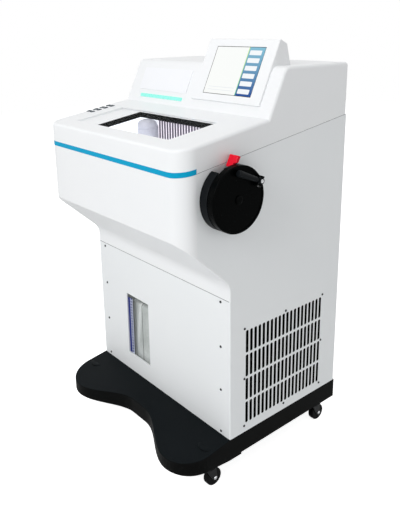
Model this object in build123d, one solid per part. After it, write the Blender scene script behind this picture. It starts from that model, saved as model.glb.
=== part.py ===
from build123d import *
import math
import os

os.makedirs("parts", exist_ok=True)

# Driving sizes in mm. The floor is z = 0, x = 0 is the middle and y = 0 is the lower front panel.
cabinet_width = 600.0
cabinet_depth = 421.0
base_top = 133.0
hood_reach = 145.0
hood_corner_radius = 45.0
deck_height = 929.8
deck_slope = 0.151
hood_band = 61.6
nose_height = 234.8
underside_slope = 0.907
underside_fillet = 50.0
skin_edge_fillet = 3.0
panel_seam_drop = 43.485
console_foot_y = 124.7
console_lean = 25.2
console_rise = 137.7
console_fillet = 25.0
shell_wall = 4.0
side_wall = 3.0
stripe_height = 12.0
deck_edge_fillet = 8.0
base_skirt = 62.0
base_reach = 150.0
base_middle_reach = 92.0
base_lobe_radius = 75.0
base_top_fall = 23.5
caster_setback = 103.0
opening_left_gap = 177.0
opening_right_gap = 110.0
opening_front = -93.0
opening_rear = 50.0
surround_rear = 63.0
pane_travel = 80.0
key_gap = 162.0
chamber_depth = 194.8
chamber_left_gap = 150.0
chamber_right_gap = 93.0
chamber_front = -112.0
chamber_rear = 80.0
fin_count = 17
fin_right_gap = 165.0
wheel_y = -13.0
wheel_drop = 141.8
wheel_radius = 79.0
wheel_thickness = 18.0
shroud_depth = 24.0
shaft_radius = 8.0
lever_width = 20.0
slot_rows = 4
slot_pitch = 15.0
slot_width = 9.4
slot_height = 62.0
slot_row_pitch = 68.2
key_pitch_x = 19.0
key_pitch_y = 22.5
key_travel = 1.0
caster_height = 64.0
caster_wheel_radius = 24.0
caster_wheel_width = 18.0
caster_trail = 14.0
lever_rest_angle = 84.0
lever_travel = 30.0
grille_front = 59.0
grille_rear = 75.0
grille_low = 57.0
slot_window_gap = 143.0
slot_window_width = 110.0
slot_window_low = 57.0
slot_window_drop = 131.5
head_gap = 220.0
head_radius = 27.0
head_stroke = 60.0
screen_gap = 41.0
screen_width = 254.0
screen_low = 26.6
screen_high = 197.8
screen_stand_out = 6.0
bezel_fillet = 3.0
plate_gap = 50.0
plate_screen_gap = 33.0
plate_low = 39.0
plate_high = 105.5
bar_low = 15.5
bar_high = 25.3
inlet_gap = 100.0
inlet_height = 120.0
compressor_gap = 240.0
compressor_rear = 161.0
compressor_height = 190.0
compressor_radius = 68.0
condenser_rear = 73.0
condenser_height = 290.0
condenser_thickness = 44.0
fan_radius = 100.0
fan_hub_radius = 24.0
motor_radius = 28.0

# Derived sizes
half = cabinet_width / 2
seam_height = deck_height - hood_band
console_top = deck_height + console_rise
underside_front_height = deck_height - nose_height
panel_seam_height = underside_front_height - underside_slope * hood_reach - panel_seam_drop
chamber_floor = deck_height - chamber_depth
wheel_z = deck_height - wheel_drop
opening_left = -half + opening_left_gap
opening_right = half - opening_right_gap
chamber_left = -half + chamber_left_gap
chamber_right = half - chamber_right_gap
head_x = -half + head_gap
screen_right = half - screen_gap
screen_left = screen_right - screen_width
plate_left = -half + plate_gap
plate_right = screen_left - plate_screen_gap
slot_window_left = -half + slot_window_gap
slot_window_right = slot_window_left + slot_window_width
slot_count = int((cabinet_depth - grille_front - grille_rear) / slot_pitch) + 1
condenser_front_y = grille_front + 3
condenser_rear_y = cabinet_depth - condenser_rear
deck_angle = math.degrees(math.atan(deck_slope))
lean = math.radians(console_lean)
run_clear = 0.05
slide_clear = 0.3
foot_z = deck_height + deck_slope * console_foot_y
frame_top = chamber_floor - 35
shelf_top = chamber_floor - 30
slope_len = math.hypot(1, underside_slope)
slope_angle = math.atan(underside_slope)


def seam_z(y):
    return seam_height + deck_slope * y


def deck_z(y):
    return deck_height + deck_slope * y


def under_z(y):
    return underside_front_height - underside_slope * (y + hood_reach)


def box(x0, x1, y0, y1, z0, z1):
    return Pos((x0 + x1) / 2, (y0 + y1) / 2, (z0 + z1) / 2) * Box(x1 - x0, y1 - y0, z1 - z0)


def prism_x(points, x0, x1):
    face = make_face(Plane.YZ.offset(x0) * Polyline(*points, close=True))
    return extrude(face, amount=x1 - x0, dir=(1, 0, 0))


def loop_x(edges, x0, x1):
    # Solid from a closed loop of lines and arcs given as (y, z), drawn out along x
    plane = Plane.YZ.offset(x0)
    face = make_face(Curve() + [plane * e for e in edges])
    return extrude(face, amount=x1 - x0, dir=(1, 0, 0))


def cyl_x(x0, x1, y, z, radius):
    return extrude(Plane.YZ.offset(x0) * Pos(y, z) * Circle(radius), amount=x1 - x0)


def cyl_z(x, y, z0, z1, radius):
    return Pos(x, y, (z0 + z1) / 2) * Cylinder(radius, z1 - z0)


def cyl_y(x, z, y0, y1, radius):
    return Pos(x, (y0 + y1) / 2, z) * Rot(90, 0, 0) * Cylinder(radius, y1 - y0)


# Deck frame: x along the width, y up the slope, z out of the deck. Face frame: the console front.
deck_plane = Plane(origin=(0, 0, deck_height), x_dir=(1, 0, 0),
                   z_dir=(0, -math.sin(math.radians(deck_angle)), math.cos(math.radians(deck_angle))))
face_plane = Plane(origin=(0, console_foot_y, foot_z), x_dir=(1, 0, 0),
                   z_dir=(0, -math.cos(lean), math.sin(lean)))


def deck_box(u0, u1, v0, v1, w0, w1):
    return deck_plane * box(u0, u1, v0, v1, w0, w1)


def face_box(u0, u1, v0, v1, w0, w1):
    return face_plane * box(u0, u1, v0, v1, w0, w1)


def plan(inset, y_rear, z0, z1, rear_radius=6.0):
    # Plan outline of the hood with its round front corners, pulled in by inset on every side
    width = cabinet_width - 2 * inset
    y0 = -hood_reach + inset
    y1 = y_rear - inset
    radius = max(hood_corner_radius - inset, 1.0)
    block = box(-width / 2, width / 2, y0, y1, z0, z1)
    front = block.edges().filter_by(Axis.Z).sort_by(Axis.Y)[:2]
    block = fillet(front, radius)
    rear = block.edges().filter_by(Axis.Z).sort_by(Axis.Y)[-2:]
    return fillet(rear, max(rear_radius - inset, 1.0))


def hood_profile(inset):
    # Side view of the upper hood, moved in by inset from deck, console face, top and rear
    k = inset * math.hypot(1, deck_slope)
    face_shift = inset / math.cos(lean)
    y_foot_run = math.tan(lean)
    base_y = console_foot_y + face_shift
    y_foot = (base_y + y_foot_run * (deck_z(0) - k - foot_z)) / (1 - y_foot_run * deck_slope)
    z_foot = deck_z(y_foot) - k
    z_top = console_top - inset
    y_top = base_y + y_foot_run * (z_top - foot_z)
    radius = console_fillet - inset
    reach = radius * math.tan((math.pi / 2 - lean) / 2)
    arc_a = (y_top - reach * math.sin(lean), z_top - reach * math.cos(lean))
    arc_b = (y_top + reach, z_top)
    mid_angle = math.radians(90 + (90 - console_lean) / 2)
    centre = (y_top + reach, z_top - radius)
    arc_m = (centre[0] + radius * math.cos(mid_angle), centre[1] + radius * math.sin(mid_angle))
    y_rear = cabinet_depth - inset
    y_low = -hood_reach - 5
    low = -60 if inset else 0
    outline = [
        Line((y_low, deck_z(y_low) - k), (y_foot, z_foot)),
        Line((y_foot, z_foot), arc_a),
        ThreePointArc(arc_a, arc_m, arc_b),
        Line(arc_b, (y_rear, z_top)),
        Line((y_rear, z_top), (y_rear, seam_z(y_rear) + low)),
        Line((y_rear, seam_z(y_rear) + low), (y_low, seam_z(y_low) + low)),
        Line((y_low, seam_z(y_low) + low), (y_low, deck_z(y_low) - k)),
    ]
    return outline


def hood_solid(inset):
    reach = half - inset
    body = loop_x(hood_profile(inset), -reach, reach)
    return body & plan(inset, cabinet_depth, 500, console_top + 50)


def side_skin():
    # Outer shape of the lower hood and cabinet side, and the same shape moved in by the skin
    t = shell_wall
    tan_half = math.tan(slope_angle_turn() / 2)
    reach = underside_fillet * tan_half
    z_corner = under_z(0)
    low = (0, z_corner - reach)
    high = (-reach / slope_len, z_corner + reach * underside_slope / slope_len)
    centre = (-underside_fillet, z_corner - reach)
    mid_angle = slope_angle_turn() / 2
    mid = (centre[0] + underside_fillet * math.cos(mid_angle), centre[1] + underside_fillet * math.sin(mid_angle))
    radius = underside_fillet + t
    low_in = (t, low[1])
    high_in = (centre[0] + radius * math.cos(slope_angle_turn()), centre[1] + radius * math.sin(slope_angle_turn()))
    mid_in = (centre[0] + radius * math.cos(mid_angle), centre[1] + radius * math.sin(mid_angle))
    return low, mid, high, low_in, mid_in, high_in


def slope_angle_turn():
    # Turn of the skin from the upright front panel to the sloping underside
    return math.pi / 2 - slope_angle


def under_in_z(y):
    return under_z(y) + shell_wall * slope_len


side_y = -hood_reach + hood_corner_radius


def base_skid():
    w = half
    r = min(base_lobe_radius, base_reach - 20)
    y_arc = -base_reach + r
    mid = (w - r + r * math.sin(math.radians(45)), y_arc - r * math.cos(math.radians(45)))
    tip = w - r
    y_end = cabinet_depth + 6
    y_a = -(base_reach + 0.22 * (base_middle_reach - base_reach))
    y_b = -(base_reach + 0.75 * (base_middle_reach - base_reach))
    pts = [(tip, -base_reach), (0.64 * tip, y_a), (0.3 * tip, y_b), (0, -base_middle_reach)]
    left = [(-x, y) for x, y in reversed(pts[:-1])]
    curve = Spline(*(pts + left), tangents=[(-1, 0), (-1, 0)])
    outline = Curve() + [
        Line((w, y_end), (w, y_arc)),
        ThreePointArc((w, y_arc), mid, (tip, -base_reach)),
        curve,
        ThreePointArc((-tip, -base_reach), (-mid[0], mid[1]), (-w, y_arc)),
        Line((-w, y_arc), (-w, y_end)),
        Line((-w, y_end), (w, y_end)),
    ]
    z0 = base_top - base_skirt
    body = extrude(Plane.XY.offset(z0) * make_face(outline), amount=base_skirt, dir=(0, 0, 1))
    body -= prism_x([(0, base_top), (-base_reach - 10, base_top - base_top_fall), (-base_reach - 10, base_top + 60),
                     (0, base_top + 60)], -w - 10, w + 10)
    low = body.edges().filter_by(lambda e: abs(e.center().Z - z0) < 0.1 and e.center().Y < -base_middle_reach / 2)
    body = chamfer(low, 7)
    body -= box(-w - 10, w + 10, 41, y_end + 10, z0 - 1, z0 + 5)
    pocket = box(-half + 75, half - 75, caster_setback - base_reach - 8, cabinet_depth - 16, z0 - 1, base_top - 10)
    pocket = fillet(pocket.edges().filter_by(Axis.Z), 20)
    body -= pocket
    for x, y in caster_axes():
        body += cyl_z(x, y, caster_height, z0 + 8, 25)
        body -= cyl_z(x, y, caster_height - 1, caster_height + 36, 6 + run_clear)
    return body


def caster_axes():
    x = half - 33
    y0 = caster_setback - base_reach
    y1 = cabinet_depth - 48
    return [(x, y0), (-x, y0), (x, y1), (-x, y1)]


def caster_fork(x, y):
    gap = caster_wheel_width / 2 + 0.6
    top = caster_height - 0.5
    axle_z = caster_wheel_radius
    axle_y = y + caster_trail
    body = cyl_z(x, y, top - 4, top, 22)
    body += cyl_z(x, y, top - 1, caster_height + 34, 6)
    low = axle_z - 7
    cheek = [(y - 17, top - 2), (y + 17, top - 2), (axle_y + 8, axle_z), (axle_y + 4, low), (axle_y - 4, low),
             (axle_y - 9, axle_z)]
    for side in (-1, 1):
        x0 = x + side * gap
        x1 = x + side * (gap + 2.5)
        body += prism_x(cheek, min(x0, x1), max(x0, x1))
    body -= cyl_x(x - gap - 5, x + gap + 5, axle_y, axle_z, caster_wheel_radius + 1.5) & box(
        x - gap, x + gap, y - 60, y + 60, 0, top - 4)
    body += cyl_x(x - gap - 3.5, x + gap + 3.5, axle_y, axle_z, 3.5)
    return body


def caster_wheel(x, y):
    w = caster_wheel_width / 2
    axle_y = y + caster_trail
    body = cyl_x(x - w, x + w, axle_y, caster_wheel_radius, caster_wheel_radius)
    rims = body.edges().filter_by(GeomType.CIRCLE)
    body = fillet(rims, 3)
    body -= cyl_x(x - w - 1, x + w + 1, axle_y, caster_wheel_radius, 3.5 + run_clear)
    return body


def cabinet_frame():
    z0 = base_top
    z1 = z0 + 3
    inner = half - side_wall
    y0 = shell_wall
    y1 = cabinet_depth - shell_wall
    body = box(-inner, inner, y0, y1, z0, z1)
    for side in (-1, 1):
        xa = side * inner
        xf = side * (inner - 41)
        xr = side * (inner - 25)
        body += box(min(xa, xf), max(xa, xf), y0, y0 + 20, z1, frame_top)
        body += box(min(xa, xr), max(xa, xr), y1 - 25, y1, z1, frame_top)
    body += box(-inner, inner, side_y, y1, frame_top, shelf_top)
    for x, z in front_screw_points():
        body -= cyl_y(x, z, 0, 18, 2 + run_clear)
    return body


def front_screw_points():
    top = panel_seam_height - 10.5
    pitch = (top - base_top - 10) / 3
    return [(side * (half - 34), top - k * pitch) for side in (-1, 1) for k in range(4)]


def window_sizes():
    return slot_window_left, slot_window_right, base_top + slot_window_low, panel_seam_height - slot_window_drop


def front_panel():
    body = box(-half, half, 0, shell_wall, base_top, panel_seam_height - 0.8)
    edges = body.edges().filter_by(Axis.Z).sort_by(Axis.Y)[:2]
    body = fillet(edges, skin_edge_fillet)
    x0, x1, z0, z1 = window_sizes()
    body -= box(x0, x1, -1, shell_wall + 1, z0, z1)
    for x, z in front_screw_points():
        body -= cyl_y(x, z, -1, shell_wall + 1, 2 + run_clear)
    return body


def screw_y(x, z):
    body = cyl_y(x, z, 0, 16, 2)
    head = cyl_y(x, z, -1.8, 0, 3.4)
    head = chamfer(head.edges().filter_by(GeomType.CIRCLE).sort_by(Axis.Y)[:1], 0.8)
    return body + head


def screw_x(y, z):
    body = cyl_x(half - 9, half, y, z, 2)
    head = cyl_x(half, half + 1.8, y, z, 3.2)
    head = chamfer(head.edges().filter_by(GeomType.CIRCLE).sort_by(Axis.X)[-1:], 0.8)
    return body + head


def grille_screw_points():
    y0 = grille_front - slot_width / 2 - 2
    y1 = y0 + (slot_count - 1) * slot_pitch + slot_width + 4
    z1 = (base_top + grille_low) + (slot_rows - 0.5) * slot_row_pitch + 1
    z0 = (base_top + grille_low) - slot_row_pitch / 2 - 4
    ym = (y0 + y1) / 2
    zm = (z0 + z1) / 2
    return [(y0 - 2.5, z0), (ym, z0), (y1 + 2.5, z0), (y0 - 2.5, zm), (y1 + 2.5, zm), (y0 - 2.5, z1 + 2.5),
            (ym, z1 + 2.5), (y1 + 2.5, z1 + 2.5)]


def side_panel(side):
    low, mid, high, low_in, mid_in, high_in = side_skin()
    y1 = cabinet_depth - shell_wall
    x0 = min(side * half, side * (half - side_wall))
    pts = [(side_y, under_in_z(side_y)), (side_y, seam_z(side_y)), (y1, seam_z(y1)), (y1, base_top),
           (shell_wall, base_top), low_in]
    edges = [Line(pts[k], pts[k + 1]) for k in range(5)]
    edges += [ThreePointArc(low_in, mid_in, high_in), Line(high_in, pts[0])]
    body = loop_x(edges, x0, x0 + side_wall)
    if side > 0:
        cutters = []
        for row in range(slot_rows):
            for col in range(slot_count):
                y = grille_front + col * slot_pitch
                z = (base_top + grille_low) + row * slot_row_pitch
                w = slot_width / 2
                h = slot_height / 2
                c = w * 0.55
                pts = [(y - w, z - h + c), (y - w, z + h - c), (y - w + c, z + h), (y + w - c, z + h),
                       (y + w, z + h - c), (y + w, z - h + c), (y + w - c, z - h), (y - w + c, z - h)]
                cutters.append(prism_x(pts, half - side_wall - 1, half + 1))
        body -= cutters
        for y, z in grille_screw_points():
            body -= cyl_x(half - side_wall - 1, half + 1, y, z, 2 + run_clear)
        body -= cyl_x(half - side_wall - 1, half + 1, wheel_y, wheel_z, shaft_radius + 4)
    return body


def air_filter():
    # Framed filter mat behind the louvres, held by the grille screws
    pts = grille_screw_points()
    y0 = pts[0][0] - 8
    y1 = pts[2][0] + 8
    z0 = pts[0][1] - 8
    z1 = pts[5][1] + 8
    x1 = half - side_wall
    body = box(x1 - 8, x1, y0, y1, z0, z1) - box(x1 - 9, x1 + 1, y0 + 13, y1 - 13, z0 + 13, z1 - 13)
    body += box(x1 - 7, x1 - 2, y0 + 12, y1 - 12, z0 + 12, z1 - 12)
    for y, z in pts:
        body -= cyl_x(x1 - 9, x1 + 1, y, z, 2 + run_clear)
    return body


def rear_panel():
    y0 = cabinet_depth - shell_wall
    y1 = cabinet_depth
    body = prism_x([(y0, base_top), (y0, seam_z(y0)), (y1, seam_z(y1)), (y1, base_top)], -half, half)
    for k in range(12):
        body -= box(half - 260, half - 80, y0 - 1, y1 + 1, base_top + 60 + 18 * k, base_top + 68 + 18 * k)
    x, z = inlet_centre()
    body -= box(x - 14.3, x + 14.3, y0 - 1, y1 + 1, z - 24.3, z + 24.3)
    return body


def inlet_centre():
    return -half + inlet_gap, base_top + inlet_height


def power_inlet():
    x, z = inlet_centre()
    y1 = cabinet_depth
    body = box(x - 19, x + 19, y1, y1 + 3, z - 29, z + 29)
    body = fillet(body.edges().filter_by(Axis.Y), 3)
    body += box(x - 14, x + 14, y1 - 28, y1, z - 24, z + 24)
    body -= box(x - 10, x + 10, y1 - 15, y1 + 4, z - 19, z - 3)
    body -= box(x - 7.5, x + 7.5, y1 - 15, y1 + 4, z + 4.5, z + 19.5)
    for dx, dz in ((-6, -13), (6, -13), (0, -8)):
        body += box(x + dx - 1, x + dx + 1, y1 - 15, y1 - 2, z + dz - 2, z + dz + 2)
    return body


def rocker_pivot():
    x, z = inlet_centre()
    return x, cabinet_depth - 2, z + 12


def power_rocker():
    x, y, z = rocker_pivot()
    body = prism_x([(y - 4, z - 6.2), (y - 4, z + 6.2), (y + 6, z + 6.0), (y + 4.4, z), (y + 3.2, z - 6.0)],
                   x - 7.2, x + 7.2)
    return body


def front_cowl():
    low, mid, high, low_in, mid_in, high_in = side_skin()
    w = half
    y_f = -hood_reach - 5
    seam = panel_seam_height
    t = shell_wall
    edges = [Line((0, seam), low), ThreePointArc(low, mid, high), Line(high, (y_f, under_z(y_f))),
             Line((y_f, under_z(y_f)), (y_f, under_in_z(y_f))), Line((y_f, under_in_z(y_f)), high_in),
             ThreePointArc(high_in, mid_in, low_in), Line(low_in, (t, seam)), Line((t, seam), (0, seam))]
    skin = loop_x(edges, -w, w)
    skin = skin & plan(0, cabinet_depth, seam - 10, console_top)
    ring = plan(0, cabinet_depth, seam - 10, console_top) - plan(t, cabinet_depth, seam - 20, console_top + 10)
    y_b = side_y
    wall = prism_x([(y_f, under_z(y_f) + 0.5), (y_b, under_z(y_b) + 0.5), (y_b, seam_z(y_b)), (y_f, seam_z(y_f))],
                   -w - 5, w + 5)
    body = skin + (ring & wall)

    def is_outer(e):
        c = e.center()
        p = e @ 0.5
        on_side = abs(abs(c.X) - half) < 0.5
        on_low = abs(c.Z - under_z(c.Y)) < 1 and c.Y < side_y + 2 and e.length > 5
        on_slope = on_side and c.Y < high[0] + 1 and abs(c.Z - under_z(c.Y)) < 1
        on_arc = on_side and e.length > 20 and abs(math.hypot(p.Y - low[0] + underside_fillet, p.Z - low[1])
                                                   - underside_fillet) < 0.5
        on_front = on_side and abs(c.Y) < 0.3 and c.Z > seam
        return on_low or on_slope or on_arc or on_front

    return fillet(body.edges().filter_by(is_outer), skin_edge_fillet)


def seam_groove(y_rear):
    ring = plan(-1, y_rear, 500, console_top) - plan(1.2, y_rear, 490, console_top + 10)
    band = prism_x([(side_y, seam_z(side_y) - 1), (cabinet_depth + 5, seam_z(cabinet_depth + 5) - 1),
                    (cabinet_depth + 5, seam_z(cabinet_depth + 5) + 1.0), (side_y, seam_z(side_y) + 1.0)],
                   -half - 5, half + 5)
    return ring & band


def stripe_band(grow):
    # Blue band round the front and both corners, standing in the lower edge of the hood
    y_f = -hood_reach - 6
    ring = plan(-0.4, cabinet_depth, 500, console_top) - plan(2.4, cabinet_depth, 490, console_top + 10)
    y_b = side_y + 1 + grow
    h = stripe_height + grow
    band = prism_x([(y_f, seam_z(y_f)), (y_b, seam_z(y_b)), (y_b, seam_z(y_b) + h), (y_f, seam_z(y_f) + h)],
                   -half - 5, half + 5)
    return ring & band


def surround_size():
    left = opening_left - 13 - pane_travel - 2
    right = opening_right + 25
    return left, right, opening_front - 14, opening_rear + surround_rear


def key_points():
    u0 = opening_left - key_gap
    v0 = -17.5
    return [(u0 + (k % 2) * key_pitch_x, v0 + (k // 2) * key_pitch_y) for k in range(8)]


def key_size():
    return min(11.0, key_pitch_x - 6), min(12.0, key_pitch_y - 8)


def is_soft_edge(e):
    # The moulding is rounded all round the deck, and up and along both sides of the console
    c = e.center()
    on_deck = c.Y < console_foot_y - 5 and abs(c.Z - deck_z(c.Y)) < 3
    on_console = abs(abs(c.X) - half) < 0.5 and c.Z > foot_z + 1 and e.bounding_box().size.Y > 5
    return on_deck or on_console


def top_hood():
    outer = hood_solid(0)
    outer = fillet(outer.edges().filter_by(is_soft_edge), deck_edge_fillet)
    body = outer - hood_solid(shell_wall)
    body -= stripe_band(0)
    body -= seam_groove(cabinet_depth)
    u0, u1, v0, v1 = surround_size()
    body -= deck_box(u0, u1, v0, v1, -20, 20)
    kw, kh = key_size()
    for u, v in key_points():
        body -= deck_box(u - kw / 2 - slide_clear, u + kw / 2 + slide_clear, v - kh / 2 - slide_clear,
                         v + kh / 2 + slide_clear, -20, 20)
    return body


def accent_stripe():
    return stripe_band(0)


def window_surround():
    u0, u1, v0, v1 = surround_size()
    body = deck_box(u0, u1, v0, v1, -8, 0)
    body += deck_box(u0 - 8, u1 + 8, v0 - 8, v1 + 8, -8, -shell_wall)
    body -= deck_box(opening_left - 4, opening_right + 4, opening_front - 4, opening_rear + 4, -20, 20)
    u_stop = opening_left - 12 - pane_travel - 0.5
    body -= deck_box(u_stop, opening_right + 13, opening_front - 6.4, opening_rear + 6.4, -5.2, -0.8)
    body -= deck_box(u_stop, opening_right + 9, opening_front - 3, opening_rear + 3, -5.2, 5)
    return body


def window_gasket():
    body = deck_box(opening_left - 4, opening_right + 4, opening_front - 4, opening_rear + 4, -19, -5.2)
    body -= deck_box(opening_left, opening_right, opening_front, opening_rear, -30, 5)
    return body


def window_pane():
    body = deck_box(opening_left - 12, opening_right + 12, opening_front - 6, opening_rear + 6, -5.1, -1.1)
    knob = deck_box(opening_left - 8, opening_left - 2, opening_front + 40, opening_rear - 40, -1.1, 1.4)
    return body + knob


def chamber_tub():
    t = 3.0
    z0 = chamber_floor - t
    body = box(chamber_left - t, chamber_right + t, chamber_front - t, chamber_rear + t, z0, deck_height + 40)
    body -= box(chamber_left, chamber_right, chamber_front, chamber_rear, chamber_floor, deck_height + 60)
    body -= deck_box(-400, 400, -400, 400, -8, 200)
    return body


def chamber_insulation():
    t = 3.0
    x0 = chamber_left - t
    x1 = chamber_right + t
    y0 = chamber_front - t
    y1 = chamber_rear + t
    body = box(x0 - 22, x1 + 22, y0 - 22, y1 + 22, shelf_top, deck_height + 40)
    body -= box(x0, x1, y0, y1, chamber_floor - t, deck_height + 60)
    body -= deck_box(-400, 400, -400, 400, -8, 200)
    return body


def fin_span():
    return head_x + 33, half - fin_right_gap


def evaporator():
    u0, u1 = fin_span()
    y1 = chamber_rear
    z0 = chamber_floor + 30
    z1 = deck_z(y1) - 22
    body = box(u0 - 4, u1 + 4, y1 - 4, y1, z0, z1)
    pitch = (u1 - u0) / (fin_count - 1)
    for k in range(fin_count):
        x = u0 + k * pitch
        body += box(x - 1.2, x + 1.2, y1 - 22, y1 - 3, z0, z1)
    return body


def head_housing():
    x = head_x
    y = head_y()
    z1 = deck_z(y) - 27
    body = cyl_z(x, y, chamber_floor, z1, head_radius)
    body = fillet(body.edges().filter_by(GeomType.CIRCLE).sort_by(Axis.Z)[-1:], 8)
    body += box(x - 20, x + 20, y, chamber_rear, chamber_floor, z1 - 10)
    z0 = head_rest_z() - head_stroke / 2 - 12.5
    z1 = head_rest_z() + head_stroke / 2 + 12.5
    body -= box(x - 8.3, x + 8.3, y - head_radius - 3, y - head_radius + 16, z0, z1)
    return body


def head_y():
    return chamber_rear - head_radius - 9


def head_rest_z():
    return chamber_floor + 87.0


def specimen_head():
    x = head_x
    y = head_y() - head_radius
    z = head_rest_z()
    body = box(x - 8, x + 8, y - 3, y + 15, z - 12, z + 12)
    body += cyl_y(x, z, y - 21, y - 2, 15)
    body += cyl_y(x, z, y - 27, y - 21, 11)
    return body


def knife_base():
    x = head_x
    y1 = head_y() - head_radius - 32
    z = chamber_floor
    top = head_rest_z() - 22
    body = box(x - 35, x + 35, y1 - 62, y1 - 2, z, z + 12)
    body += prism_x([(y1 - 58, z + 10), (y1 - 6, z + 10), (y1 - 6, top - 8), (y1 - 16, top), (y1 - 40, top)],
                    x - 28, x + 28)
    body -= prism_x([(y1 - 22.0, top + 1), (y1 - 20.6, top + 1), (y1 - 12.6, top - 16), (y1 - 14.0, top - 16)],
                    x - 40, x + 40)
    body -= cyl_x(x - 60, x + 60, y1 - 38, top - 20, 5 + run_clear)
    return body


def knife_edge():
    x = head_x
    y1 = head_y() - head_radius - 32
    top = head_rest_z() - 22
    return x, y1, top


def knife_blade():
    x, y1, top = knife_edge()
    slope = 8 / 17
    def at(z, d):
        return (y1 - 20.6 - slope * (z - top - 1) - d, z)
    pts = [at(top - 16, 1.3), at(top + 7, 1.3), at(top + 9, 0.75), at(top + 7, 0.1), at(top - 16, 0.1)]
    return prism_x(pts, x - 38, x + 38)


def clamp_lever():
    x, y1, top = knife_edge()
    y = y1 - 38
    z = top - 20
    body = cyl_x(x - 28.5, x + 36, y, z, 5)
    body += cyl_x(x + 29, x + 36, y, z, 8)
    body += prism_x([(y - 3, z), (y + 3, z), (y + 2, z + 34), (y - 2, z + 34)], x + 29, x + 35)
    return body


def key_pod():
    pts = key_points()
    kw, kh = key_size()
    u0 = min(p[0] for p in pts) - kw / 2 - 5
    u1 = max(p[0] for p in pts) + kw / 2 + 5
    v0 = min(p[1] for p in pts) - kh / 2 - 5
    v1 = max(p[1] for p in pts) + kh / 2 + 5
    body = deck_box(u0, u1, v0, v1, -shell_wall - 10, -shell_wall)
    for u, v in pts:
        body -= deck_box(u - kw / 2 - 1.5 - slide_clear, u + kw / 2 + 1.5 + slide_clear, v - kh / 2 - 1.5 - slide_clear,
                         v + kh / 2 + 1.5 + slide_clear, -shell_wall - 4 - key_travel, -shell_wall + 1)
    return body


def deck_key(u, v):
    kw, kh = key_size()
    body = deck_box(u - kw / 2, u + kw / 2, v - kh / 2, v + kh / 2, -shell_wall - 1, 1.4)
    body = chamfer(body.edges().sort_by(Axis.Z)[-4:], 0.4)
    body += deck_box(u - kw / 2 - 1.5, u + kw / 2 + 1.5, v - kh / 2 - 1.5, v + kh / 2 + 1.5, -shell_wall - 3.5,
                     -shell_wall - 0.2)
    return body


def face_v(z):
    return (z - foot_z) / math.cos(lean)


def screen_sizes():
    return screen_left, screen_right, screen_low, screen_high


def screen_housing():
    u0, u1, v0, v1 = screen_sizes()
    out = screen_stand_out
    nx = (-math.cos(lean), math.sin(lean))
    def on(v, w):
        return (console_foot_y + v * math.sin(lean) + w * nx[0], foot_z + v * math.cos(lean) + w * nx[1])
    back_y = on(v1, out)[0] + 24
    back_z = on(v1, out)[1] - 12
    pts = [on(v0, out), on(v1, out), (back_y, back_z), (back_y + 14, console_top - 3), (back_y - 20, console_top - 30),
           on(v0, -2)]
    body = prism_x(pts, u0, u1)
    body -= hood_solid(0)
    body = body.solids().sort_by(SortBy.VOLUME)[-1]
    body = fillet(body.faces().sort_by(Axis((0, 0, 0), face_plane.z_dir))[-1].edges(), bezel_fillet)
    body -= face_box(u0 + 40, u1 - 36, v0 + 19, v1 - 21.5, out - 3, out + 20)
    return body


def display_panel():
    u0, u1, v0, v1 = screen_sizes()
    out = screen_stand_out
    return face_box(u0 + 40.1, u1 - 36.1, v0 + 19.1, v1 - 21.6, out - 3, out - 0.2)


def console_plate():
    body = box(plate_left, plate_right, plate_low, plate_high, 0, 2)
    body = fillet(body.edges().filter_by(Axis.Z), 5)
    return face_plane * body


def status_bar():
    body = box(plate_left + 17, plate_right - 10, bar_low, bar_high, 0, 2.2)
    body = fillet(body.edges().filter_by(Axis.Z), 3)
    return face_plane * body


def slot_pane():
    x0, x1, z0, z1 = window_sizes()
    return box(x0 - 8, x1 + 8, shell_wall, shell_wall + 3, z0 - 8, z1 + 8)


def waste_bottle():
    x0, x1, z0, z1 = window_sizes()
    body = box(x0 - 4, x1 + 4, 18, 120, base_top + 3, z1 - 26)
    body = fillet(body.edges().filter_by(Axis.Z), 14)
    body = fillet(body.edges().sort_by(Axis.Z)[-8:], 8)
    x = (x0 + x1) / 2
    body += cyl_z(x, 69, z1 - 27, z1 - 4, 24)
    return body


def wheel_bearing():
    x1 = half - side_wall
    body = box(x1 - 40, x1, wheel_y - 30, wheel_y + 30, shelf_top, wheel_z)
    body += cyl_x(x1 - 40, x1, wheel_y, wheel_z, 30)
    body -= cyl_x(x1 - 50, x1 + 10, wheel_y, wheel_z, shaft_radius + 2 + run_clear)
    return body


def wheel_shroud():
    x0 = half
    x1 = half + shroud_depth
    r = wheel_radius
    body = cyl_x(x0, x1, wheel_y, wheel_z, r)
    body = fillet(body.edges().filter_by(GeomType.CIRCLE).sort_by(Axis.X)[-1:], 1)
    body -= cyl_x(x0 + 3, x1 + 1, wheel_y, wheel_z, r - 5)
    body += cyl_x(x0 + 2, x1 - 2, wheel_y, wheel_z, 15)
    body -= cyl_x(x0 - 1, x1 + 1, wheel_y, wheel_z, shaft_radius + 2 + run_clear)
    a0 = math.radians(lever_rest_angle - 4)
    a1 = math.radians(lever_rest_angle + lever_travel + 6)
    am = (a0 + a1) / 2
    far = r * 1.4
    wedge = [(wheel_y, wheel_z), (wheel_y + far * math.cos(a0), wheel_z + far * math.sin(a0)),
             (wheel_y + far * math.cos(am), wheel_z + far * math.sin(am)),
             (wheel_y + far * math.cos(a1), wheel_z + far * math.sin(a1))]
    window = prism_x(wedge, x0 + 3, x1 + 2) - cyl_x(x0 + 2, x1 + 3, wheel_y, wheel_z, r - 16)
    return body - window


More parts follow.
